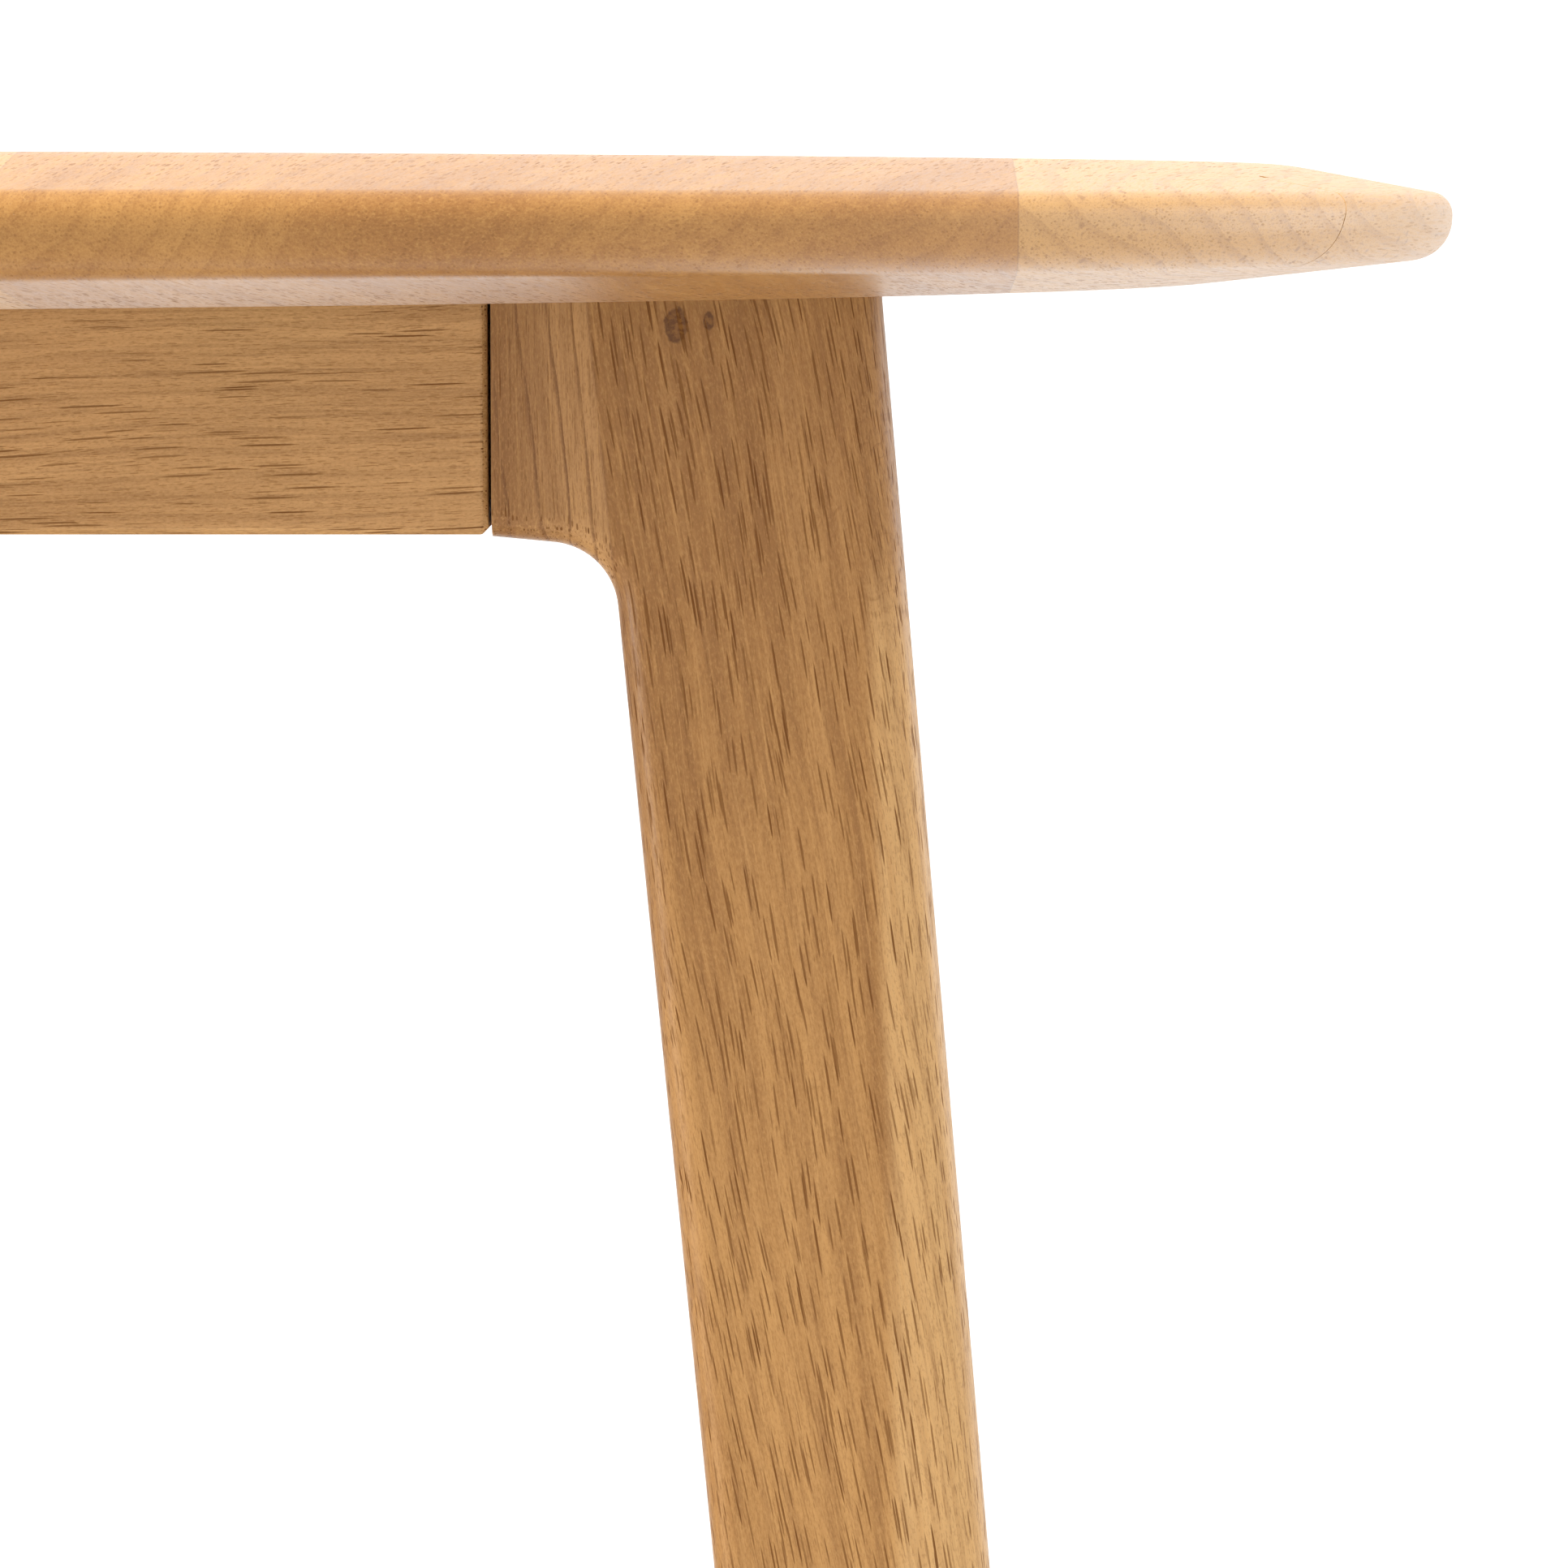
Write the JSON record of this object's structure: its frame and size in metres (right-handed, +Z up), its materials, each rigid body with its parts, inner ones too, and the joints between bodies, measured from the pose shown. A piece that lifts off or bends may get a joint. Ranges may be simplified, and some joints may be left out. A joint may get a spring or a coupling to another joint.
{
  "type": "gateleg table",
  "caption": "Round oak gateleg table with bevelled top, rule-jointed drop leaves, splayed shouldered legs and swing-out gates.",
  "frame": {"origin": "on the floor, under the middle of the round top", "axes": "+Z up; X runs along the long aprons and the hinge lines, Y across them; the leaves drop at -Y (front) and +Y (back)"},
  "size_m": [1.1, 1.1, 0.74],
  "materials": {
    "oak_top": "satin oiled oak",
    "oak_legs": "satin oiled oak",
    "oak_rails": "satin oiled oak",
    "antique_brass": "antiqued",
    "zinc_steel": "zinc plated",
    "brown_nylon": "moulded nylon"
  },
  "bodies": {
    "frame": {"centre_panel": "oak_top", "leg_front_left": "oak_legs", "corner_block_front_left": "oak_rails", "top_bracket_front_left": "zinc_steel", "hinge_front_left_fixed_flap": "antique_brass", "hinge_front_left_pin": "zinc_steel", "leg_front_right": "oak_legs", "corner_block_front_right": "oak_rails", "top_bracket_front_right": "zinc_steel", "hinge_front_right_fixed_flap": "antique_brass", "hinge_front_right_pin": "zinc_steel", "apron_front": "oak_rails", "stretcher_front": "oak_rails", "leg_back_left": "oak_legs", "corner_block_back_left": "oak_rails", "top_bracket_back_left": "zinc_steel", "hinge_back_left_fixed_flap": "antique_brass", "hinge_back_left_pin": "zinc_steel", "leg_back_right": "oak_legs", "corner_block_back_right": "oak_rails", "top_bracket_back_right": "zinc_steel", "hinge_back_right_fixed_flap": "antique_brass", "hinge_back_right_pin": "zinc_steel", "apron_back": "oak_rails", "stretcher_back": "oak_rails", "apron_left": "oak_rails", "stretcher_left": "oak_rails", "apron_right": "oak_rails", "stretcher_right": "oak_rails"},
    "foot_front_left": {"foot_front_left": "brown_nylon"},
    "leaf_front": {"hinge_front_left_leaf_flap": "antique_brass", "hinge_front_right_leaf_flap": "antique_brass", "leaf_front": "oak_top", "leaf_front_stop": "oak_rails"},
    "foot_front_right": {"foot_front_right": "brown_nylon"},
    "gate_front": {"gate_front_post": "oak_rails", "gate_front_top_rail": "oak_rails", "gate_front_low_rail": "oak_rails", "gate_front_leg": "oak_legs", "gate_front_lower_pivot_pin": "zinc_steel", "gate_front_upper_pivot_pin": "zinc_steel"},
    "gate_front_foot": {"gate_front_foot": "brown_nylon"},
    "foot_back_left": {"foot_back_left": "brown_nylon"},
    "leaf_back": {"hinge_back_left_leaf_flap": "antique_brass", "hinge_back_right_leaf_flap": "antique_brass", "leaf_back": "oak_top", "leaf_back_stop": "oak_rails"},
    "foot_back_right": {"foot_back_right": "brown_nylon"},
    "gate_back": {"gate_back_post": "oak_rails", "gate_back_top_rail": "oak_rails", "gate_back_low_rail": "oak_rails", "gate_back_leg": "oak_legs", "gate_back_lower_pivot_pin": "zinc_steel", "gate_back_upper_pivot_pin": "zinc_steel"},
    "gate_back_foot": {"gate_back_foot": "brown_nylon"}
  },
  "joints": [
    {"name": "leaf_front_drop", "type": "hinge", "parent": "frame", "child": "leaf_front", "pos_m": [0, -0.2, 0.714], "axis": [1, 0, 0], "range_deg": [0, 90]},
    {"name": "leaf_back_drop", "type": "hinge", "parent": "frame", "child": "leaf_back", "pos_m": [0, 0.2, 0.714], "axis": [-1, 0, 0], "range_deg": [0, 90]},
    {"name": "gate_front_swing", "type": "hinge", "parent": "frame", "child": "gate_front", "pos_m": [-0.125, -0.17, 0.4], "axis": [0, 0, 1], "range_deg": [-90, 0]},
    {"name": "gate_back_swing", "type": "hinge", "parent": "frame", "child": "gate_back", "pos_m": [0.125, 0.17, 0.4], "axis": [0, 0, 1], "range_deg": [-90, 0]},
    {"name": "foot_front_left_travel", "type": "slide", "parent": "frame", "child": "foot_front_left", "axis": [0, 0, -1], "range_m": [0, 0.008]},
    {"name": "foot_front_right_travel", "type": "slide", "parent": "frame", "child": "foot_front_right", "axis": [0, 0, -1], "range_m": [0, 0.008]},
    {"name": "foot_back_left_travel", "type": "slide", "parent": "frame", "child": "foot_back_left", "axis": [0, 0, -1], "range_m": [0, 0.008]},
    {"name": "foot_back_right_travel", "type": "slide", "parent": "frame", "child": "foot_back_right", "axis": [0, 0, -1], "range_m": [0, 0.008]},
    {"name": "gate_front_foot_travel", "type": "slide", "parent": "gate_front", "child": "gate_front_foot", "axis": [0, 0, -1], "range_m": [0, 0.008]},
    {"name": "gate_back_foot_travel", "type": "slide", "parent": "gate_back", "child": "gate_back_foot", "axis": [0, 0, -1], "range_m": [0, 0.008]}
  ]
}
